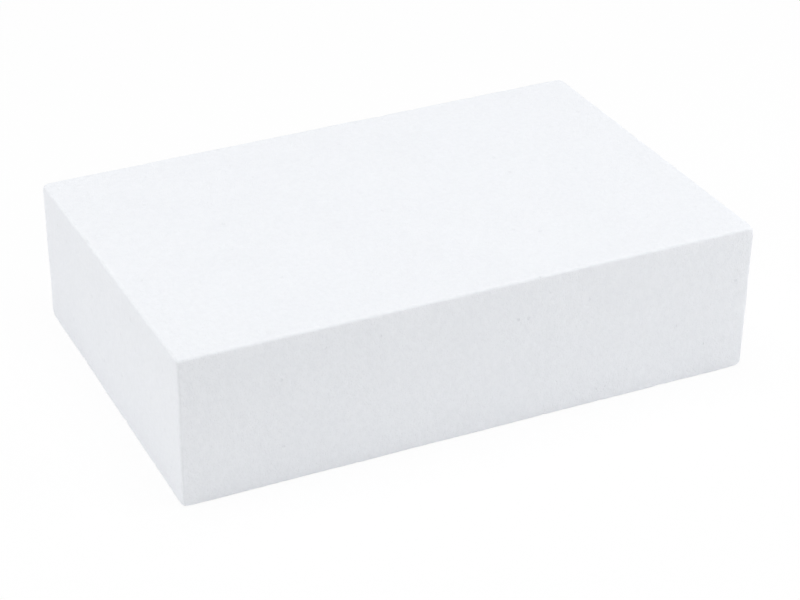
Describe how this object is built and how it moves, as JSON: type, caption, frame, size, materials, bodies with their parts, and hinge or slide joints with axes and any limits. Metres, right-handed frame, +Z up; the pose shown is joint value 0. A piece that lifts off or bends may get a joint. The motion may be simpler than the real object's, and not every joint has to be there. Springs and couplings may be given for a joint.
{
  "type": "melamine sponge",
  "caption": "Plain white rectangular block of fine open-celled melamine foam with crisp, slightly eased edges, for wiping and scouring surfaces.",
  "frame": {"origin": "middle of the large face that the block lies on", "axes": "+X along the length, +Y across the width, +Z up through the thickness"},
  "size_m": [0.115, 0.075, 0.03],
  "materials": {
    "foam": "fine open-celled white melamine foam, fully matte"
  },
  "bodies": {
    "root": {"sponge_block": "foam"}
  },
  "joints": []
}
